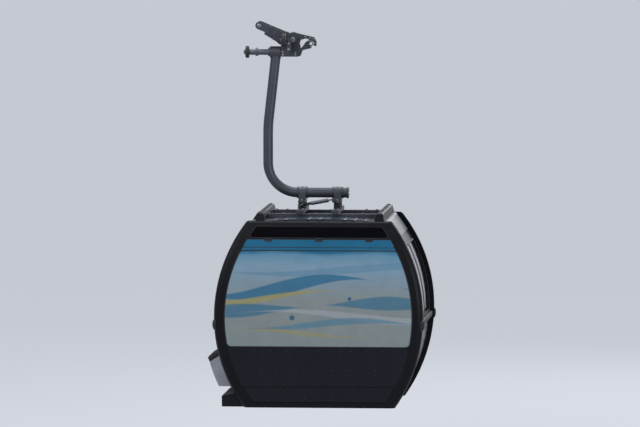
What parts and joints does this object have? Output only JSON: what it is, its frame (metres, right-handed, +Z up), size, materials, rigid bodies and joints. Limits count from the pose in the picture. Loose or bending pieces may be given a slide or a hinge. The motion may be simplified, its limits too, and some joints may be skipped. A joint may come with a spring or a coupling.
{
  "type": "detachable gondola cable car cabin with hanger arm and rope grip",
  "caption": "Barrel-shaped cable car cabin with sliding doors and ski racks, hung by a bent arm from a spring grip that clamps a haul rope.",
  "frame": {"origin": "centre of the rope inside the grip's jaws", "axes": "+Y along the rope, +Z up, +X away from the hanger arm and the doors"},
  "size_m": [2.5261, 2.06, 4.4493],
  "materials": {
    "grip_paint": "zinc grey cast steel, satin, worn at the edges",
    "bare_steel": "turned and greased steel",
    "spring_paint": "dark grey satin paint",
    "arm_paint": "dark grey satin paint on a galvanised tube",
    "roller_rubber": "hard black rubber and plastic rollers",
    "buffer_rubber": "black rubber",
    "hoop_black": "black moulded edge frame, satin",
    "shell_black": "black gloss lacquer on aluminium",
    "roof_blue": "blue-grey gloss lacquer",
    "film_glass": "clear acrylic with a printed one-way film",
    "tinted_glass": "grey tinted acrylic",
    "frame_aluminium": "anodised aluminium profile",
    "floor_rubber": "studded rubber mat",
    "seat_shell": "dark grey moulded seats",
    "rack_plastic": "pale grey plastic"
  },
  "bodies": {
    "grip": {"grip_body": "grip_paint", "spring_housing": "spring_paint", "pivot_shaft": "bare_steel", "wheel_arms": "grip_paint"},
    "jaw": {"clamp_jaw": "grip_paint", "clamp_fork": "grip_paint"},
    "coupling_roller": {"coupling_roller": "roller_rubber"},
    "guide_roller": {"guide_roller": "roller_rubber"},
    "running_wheel_rear": {"running_wheel_rear": "roller_rubber"},
    "running_wheel_front": {"running_wheel_front": "roller_rubber"},
    "carrier": {"hanger_arm": "arm_paint", "saddle_outer": "arm_paint", "saddle_inner": "arm_paint", "buffers": "buffer_rubber", "swing_damper": "bare_steel", "cross_beams": "arm_paint", "roof_frame": "arm_paint", "roof_rail_left": "hoop_black", "roof_rail_right": "hoop_black", "roof_panel": "roof_blue", "head_rail": "frame_aluminium", "end_frame_rear": "hoop_black", "end_frame_front": "hoop_black", "end_glass_rear": "film_glass", "end_glass_front": "film_glass", "vent_glass_rear": "film_glass", "vent_glass_front": "film_glass", "end_header_rear": "shell_black", "end_header_front": "shell_black", "end_panel_rear": "shell_black", "end_panel_front": "shell_black", "blind_wall": "shell_black", "blind_glass_rear": "tinted_glass", "blind_glass_front": "tinted_glass", "blind_bumper": "buffer_rubber", "quarter_wall_rear": "shell_black", "quarter_wall_front": "shell_black", "quarter_glass_rear": "tinted_glass", "quarter_glass_front": "tinted_glass", "floor_pan": "frame_aluminium", "floor_mat": "floor_rubber", "floor_beams": "frame_aluminium", "sill_step": "frame_aluminium", "door_drive": "roller_rubber", "bench_seat_rear": "seat_shell", "bench_seat_front": "seat_shell"},
    "door_rear": {"door_leaf_rear": "shell_black", "door_glass_rear": "tinted_glass", "door_bumper_rear": "buffer_rubber", "ski_rack_rear": "rack_plastic"},
    "door_front": {"door_leaf_front": "shell_black", "door_glass_front": "tinted_glass", "door_bumper_front": "buffer_rubber", "ski_rack_front": "rack_plastic"}
  },
  "joints": [
    {"name": "hanger_swing", "type": "hinge", "parent": "grip", "child": "carrier", "pos_m": [-0.4135, 0, -0.1], "axis": [1, 0, 0], "range_deg": [-40, 40]},
    {"name": "jaw_open", "type": "hinge", "parent": "grip", "child": "jaw", "pos_m": [-0.207, 0, 0.047], "axis": [0, -1, 0], "range_deg": [0, 14], "stiffness_Nm_per_rad": 600, "springref_deg": -28.65},
    {"name": "coupling_roller_spin", "type": "hinge", "parent": "jaw", "child": "coupling_roller", "pos_m": [-0.596, 0, 0.21], "axis": [0, 1, 0], "continuous": true},
    {"name": "guide_roller_spin", "type": "hinge", "parent": "grip", "child": "guide_roller", "pos_m": [-0.74, 0, -0.1], "axis": [1, 0, 0], "continuous": true},
    {"name": "running_wheel_rear_spin", "type": "hinge", "parent": "grip", "child": "running_wheel_rear", "pos_m": [-0.3, -0.21, 0.047], "axis": [1, 0, 0], "continuous": true},
    {"name": "running_wheel_front_spin", "type": "hinge", "parent": "grip", "child": "running_wheel_front", "pos_m": [-0.3, 0.21, 0.047], "axis": [1, 0, 0], "continuous": true},
    {"name": "door_rear_slide", "type": "slide", "parent": "carrier", "child": "door_rear", "axis": [0, -1, 0], "range_m": [0, 0.4]},
    {"name": "door_front_slide", "type": "slide", "parent": "carrier", "child": "door_front", "axis": [0, 1, 0], "range_m": [0, 0.4]}
  ],
  "couplings": [
    {"joint": "door_front_slide", "follows": "door_rear_slide", "ratio": 1}
  ]
}
